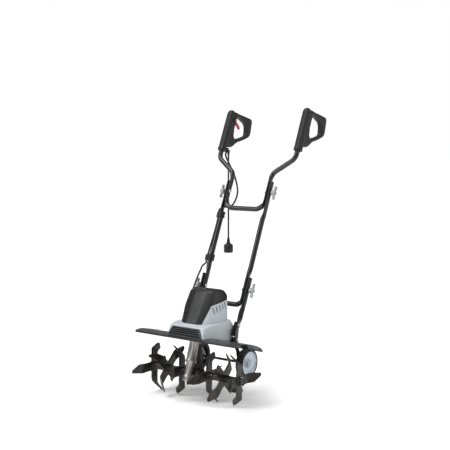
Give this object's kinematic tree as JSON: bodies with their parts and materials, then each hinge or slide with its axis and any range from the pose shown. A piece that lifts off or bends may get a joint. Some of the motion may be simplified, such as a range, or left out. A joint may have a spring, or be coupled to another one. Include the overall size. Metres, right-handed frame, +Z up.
{
  "type": "electric garden tiller",
  "caption": "Electric garden tiller: motor head and worm tube over bladed tine stars, tine guard, rear wheels and a folding tube handle with two D-shaped grips.",
  "frame": {"origin": "on the ground, at the middle of the bounding box seen from above", "axes": "+Z up; +X to the machine's right seen from in front of it, along the tine axle; -Y to the front, where the motor head leads; the handle leans back towards +Y"},
  "size_m": [0.48, 0.7445, 1.1091],
  "materials": {
    "black_tube": "gloss black enamel",
    "black_plastic": "satin black moulding",
    "grey_plastic": "light cool grey moulding",
    "red_plastic": "red moulding",
    "cast": "raw die casting",
    "dark_cast": "dark casting",
    "blade": "black painted steel",
    "steel": "zinc plated",
    "copper": "copper windings",
    "brass": "bronze",
    "rubber": "black rubber",
    "silver_plastic": "light silver-grey moulding"
  },
  "bodies": {
    "head": {"tine_guard": "black_plastic", "motor_housing": "grey_plastic", "motor_cover": "black_plastic", "front_grille": "black_plastic", "motor_stator": "steel", "lower_motor_bearing": "steel", "upper_motor_bearing": "steel", "worm_tube": "cast", "worm_tube_cap": "cast", "gear_case_right": "dark_cast", "gear_case_left": "dark_cast", "axle_bearing_right": "steel", "axle_bearing_left": "steel", "wheel_axle": "black_tube", "wheel_bracket": "black_tube", "lower_leg_right": "black_tube", "lower_leg_left": "black_tube", "leg_bracket_right": "black_tube", "leg_bracket_left": "black_tube", "leg_bolt_right": "steel", "leg_bolt_left": "steel", "lower_clamp_bolt_right": "steel", "lower_clamp_bolt_left": "steel", "motor_cable_lower": "rubber"},
    "tine_shaft": {"tine_axle": "dark_cast", "worm_wheel": "brass", "tine_star_1": "blade", "tine_star_2": "blade", "tine_star_3": "blade", "tine_star_4": "blade", "tine_star_5": "blade", "tine_star_6": "blade", "tine_pin_right": "steel", "tine_pin_left": "steel"},
    "motor_shaft": {"worm_shaft": "steel", "rotor_core": "copper", "cooling_fan": "black_plastic"},
    "wheel_r": {"tyre_right": "rubber", "wheel_disc_right": "silver_plastic"},
    "wheel_l": {"tyre_left": "rubber", "wheel_disc_left": "silver_plastic"},
    "frame": {"mid_frame": "black_tube", "upper_clamp_bolt_right": "steel", "upper_clamp_bolt_left": "steel", "cable_clip_upper": "black_plastic", "cable_clip_lower": "black_plastic", "motor_cable_mid": "rubber"},
    "handle": {"upper_handle": "black_tube", "grip_right": "black_plastic", "grip_left": "black_plastic", "switch_body": "black_plastic", "motor_cable_upper": "rubber"},
    "knob_lower_r": {"lower_knob_right": "silver_plastic"},
    "knob_lower_l": {"lower_knob_left": "silver_plastic"},
    "knob_upper_r": {"upper_knob_right": "silver_plastic"},
    "knob_upper_l": {"upper_knob_left": "silver_plastic"},
    "lever": {"switch_lever": "red_plastic"},
    "button": {"lock_button": "red_plastic"},
    "plug": {"plug_cable": "rubber", "power_plug": "black_plastic"}
  },
  "joints": [
    {"name": "tine_spin", "type": "hinge", "parent": "head", "child": "tine_shaft", "pos_m": [0, -0.2722, 0.1], "axis": [1, 0, 0], "continuous": true},
    {"name": "motor_spin", "type": "hinge", "parent": "head", "child": "motor_shaft", "pos_m": [0, -0.2762, 0.224], "axis": [0, 0.3069, 0.9518], "continuous": true},
    {"name": "wheel_spin_right", "type": "hinge", "parent": "head", "child": "wheel_r", "pos_m": [0.116, -0.0972, 0.119], "axis": [1, 0, 0], "continuous": true},
    {"name": "wheel_spin_left", "type": "hinge", "parent": "head", "child": "wheel_l", "pos_m": [-0.116, -0.0972, 0.119], "axis": [1, 0, 0], "continuous": true},
    {"name": "frame_fold", "type": "hinge", "parent": "head", "child": "frame", "pos_m": [0, -0.0842, 0.403], "axis": [1, 0, 0], "range_deg": [0, 70], "deforming": ["motor_cable_lower"]},
    {"name": "handle_fold", "type": "hinge", "parent": "frame", "child": "handle", "pos_m": [0, 0.0785, 0.773], "axis": [1, 0, 0], "range_deg": [0, 160], "deforming": ["motor_cable_upper"]},
    {"name": "lower_knob_turn_right", "type": "hinge", "parent": "head", "child": "knob_lower_r", "pos_m": [0.129, -0.0842, 0.403], "axis": [1, 0, 0], "range_deg": [0, 450]},
    {"name": "lower_knob_turn_left", "type": "hinge", "parent": "head", "child": "knob_lower_l", "pos_m": [-0.129, -0.0842, 0.403], "axis": [1, 0, 0], "range_deg": [0, 450]},
    {"name": "upper_knob_turn_right", "type": "hinge", "parent": "frame", "child": "knob_upper_r", "pos_m": [0.123, 0.0785, 0.773], "axis": [1, 0, 0], "range_deg": [0, 450]},
    {"name": "upper_knob_turn_left", "type": "hinge", "parent": "frame", "child": "knob_upper_l", "pos_m": [-0.123, 0.0785, 0.773], "axis": [1, 0, 0], "range_deg": [0, 450]},
    {"name": "lever_pull", "type": "hinge", "parent": "handle", "child": "lever", "pos_m": [-0.187, 0.24158, 1.06573], "axis": [1, 0, 0], "range_deg": [0, 12]},
    {"name": "button_press", "type": "slide", "parent": "handle", "child": "button", "axis": [-1, 0, 0], "range_m": [0, 0.004]},
    {"name": "plug_swing", "type": "hinge", "parent": "handle", "child": "plug", "pos_m": [-0.187, 0.20479, 0.94403], "axis": [1, 0, 0], "range_deg": [-20, 20]}
  ],
  "couplings": [
    {"joint": "motor_spin", "follows": "tine_spin", "ratio": 28}
  ]
}
